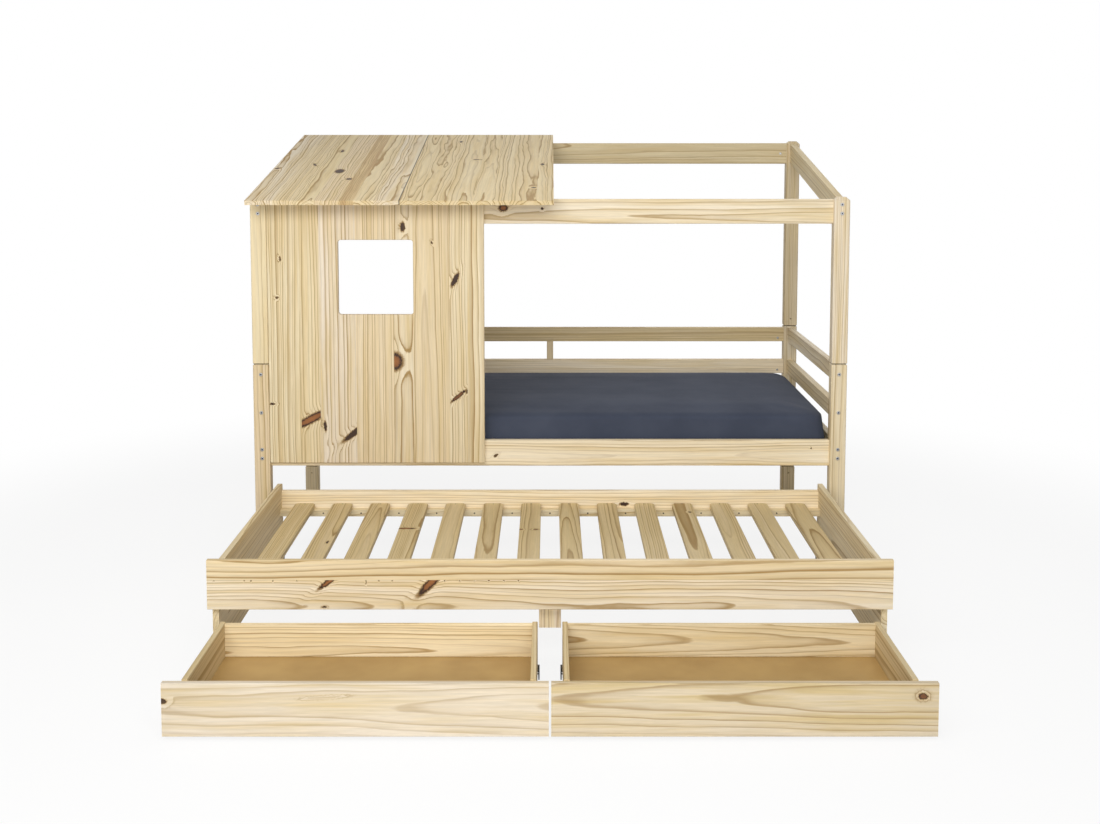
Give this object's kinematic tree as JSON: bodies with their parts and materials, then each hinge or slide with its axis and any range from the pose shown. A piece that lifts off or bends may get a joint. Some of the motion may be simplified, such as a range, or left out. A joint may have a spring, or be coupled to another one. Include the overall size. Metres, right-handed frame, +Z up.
{
  "type": "house bed with trundle",
  "caption": "Child's pine house bed with a lean-to roof, a front panel with a square window, a slatted base with mattress, and a roll-out trundle whose drawers roll out below it.",
  "frame": {"origin": "on the floor, in the middle of all that the open bed covers, trundle and drawers out", "axes": "+X to the right along the bed as seen from its open front, +Y to the back, +Z up"},
  "size_m": [2.112, 2.4656, 1.5376],
  "materials": {
    "pine_posts": "planed pine, unlacquered",
    "pine_rails": "planed pine, unlacquered",
    "pine_panel": "sanded edge-glued pine board",
    "pine_roof": "sanded edge-glued pine board",
    "pine_slats": "planed pine, unlacquered",
    "pine_trundle": "planed pine, unlacquered",
    "pine_drawers": "planed pine, unlacquered",
    "hardboard": "smooth pressed hardboard",
    "bedding": "plain woven cotton fitted sheet",
    "steel": "zinc plated",
    "castor_plastic": "moulded, fine grained",
    "wheel_plastic": "moulded, satin"
  },
  "bodies": {
    "bed": {"post_feet": "pine_posts", "lower_post_front_left": "pine_posts", "upper_post_front_left": "pine_posts", "lower_post_front_right": "pine_posts", "upper_post_front_right": "pine_posts", "lower_post_back_left": "pine_posts", "upper_post_back_left": "pine_posts", "lower_post_back_right": "pine_posts", "upper_post_back_right": "pine_posts", "post_pins": "steel", "bed_rail_front": "pine_rails", "bed_rail_back": "pine_rails", "bed_rail_left": "pine_rails", "bed_rail_right": "pine_rails", "middle_rail_back": "pine_rails", "middle_rail_left": "pine_rails", "middle_rail_right": "pine_rails", "guard_rail_back": "pine_rails", "guard_rail_left": "pine_rails", "guard_rail_right": "pine_rails", "rail_spacer": "pine_rails", "top_rail_front": "pine_rails", "top_rail_back": "pine_rails", "top_rail_left": "pine_rails", "top_rail_right": "pine_rails", "frame_bolts": "steel", "barrel_nuts": "steel", "house_panel": "pine_panel", "roof_board_left": "pine_roof", "roof_board_right": "pine_roof", "roof_battens": "pine_rails", "bed_ledgers": "pine_rails", "bed_slats": "pine_slats", "mattress": "bedding"},
    "trundle": {"trundle_front": "pine_trundle", "trundle_back": "pine_trundle", "trundle_side_left": "pine_trundle", "trundle_side_right": "pine_trundle", "trundle_ledgers": "pine_trundle", "trundle_slats": "pine_slats", "centre_block": "pine_rails", "trundle_castors": "castor_plastic"},
    "wheels_trundle_front": {"trundle_wheels_front": "wheel_plastic"},
    "wheels_trundle_back": {"trundle_wheels_back": "wheel_plastic"},
    "drawer_left": {"drawer_left_front": "pine_drawers", "drawer_left_side_outer": "pine_drawers", "drawer_left_side_inner": "pine_drawers", "drawer_left_back": "pine_drawers", "drawer_left_bottom": "hardboard", "drawer_left_castors": "castor_plastic"},
    "wheels_drawer_left_front": {"drawer_left_wheels_front": "wheel_plastic"},
    "wheels_drawer_left_back": {"drawer_left_wheels_back": "wheel_plastic"},
    "drawer_right": {"drawer_right_front": "pine_drawers", "drawer_right_side_outer": "pine_drawers", "drawer_right_side_inner": "pine_drawers", "drawer_right_back": "pine_drawers", "drawer_right_bottom": "hardboard", "drawer_right_castors": "castor_plastic"},
    "wheels_drawer_right_front": {"drawer_right_wheels_front": "wheel_plastic"},
    "wheels_drawer_right_back": {"drawer_right_wheels_back": "wheel_plastic"}
  },
  "joints": [
    {"name": "trundle_slide", "type": "slide", "parent": "bed", "child": "trundle", "axis": [0, 1, 0], "range_m": [0, 0.958]},
    {"name": "wheels_trundle_front_spin", "type": "hinge", "parent": "trundle", "child": "wheels_trundle_front", "pos_m": [0, -0.725, 0.0125], "axis": [1, 0, 0], "continuous": true},
    {"name": "wheels_trundle_back_spin", "type": "hinge", "parent": "trundle", "child": "wheels_trundle_back", "pos_m": [0, 0.156, 0.0125], "axis": [1, 0, 0], "continuous": true},
    {"name": "drawer_left_slide", "type": "slide", "parent": "trundle", "child": "drawer_left", "axis": [0, 1, 0], "range_m": [0, 0.464]},
    {"name": "wheels_drawer_left_front_spin", "type": "hinge", "parent": "drawer_left", "child": "wheels_drawer_left_front", "pos_m": [0, -1.189, 0.0125], "axis": [1, 0, 0], "continuous": true},
    {"name": "wheels_drawer_left_back_spin", "type": "hinge", "parent": "drawer_left", "child": "wheels_drawer_left_back", "pos_m": [0, -0.836, 0.0125], "axis": [1, 0, 0], "continuous": true},
    {"name": "drawer_right_slide", "type": "slide", "parent": "trundle", "child": "drawer_right", "axis": [0, 1, 0], "range_m": [0, 0.464]},
    {"name": "wheels_drawer_right_front_spin", "type": "hinge", "parent": "drawer_right", "child": "wheels_drawer_right_front", "pos_m": [0, -1.189, 0.0125], "axis": [1, 0, 0], "continuous": true},
    {"name": "wheels_drawer_right_back_spin", "type": "hinge", "parent": "drawer_right", "child": "wheels_drawer_right_back", "pos_m": [0, -0.836, 0.0125], "axis": [1, 0, 0], "continuous": true}
  ],
  "couplings": [
    {"joint": "wheels_trundle_front_spin", "follows": "trundle_slide", "rad_per_m": -80},
    {"joint": "wheels_trundle_back_spin", "follows": "trundle_slide", "rad_per_m": -80},
    {"joint": "wheels_drawer_left_front_spin", "follows": "drawer_left_slide", "rad_per_m": -80},
    {"joint": "wheels_drawer_left_back_spin", "follows": "drawer_left_slide", "rad_per_m": -80},
    {"joint": "wheels_drawer_right_front_spin", "follows": "drawer_right_slide", "rad_per_m": -80},
    {"joint": "wheels_drawer_right_back_spin", "follows": "drawer_right_slide", "rad_per_m": -80}
  ]
}
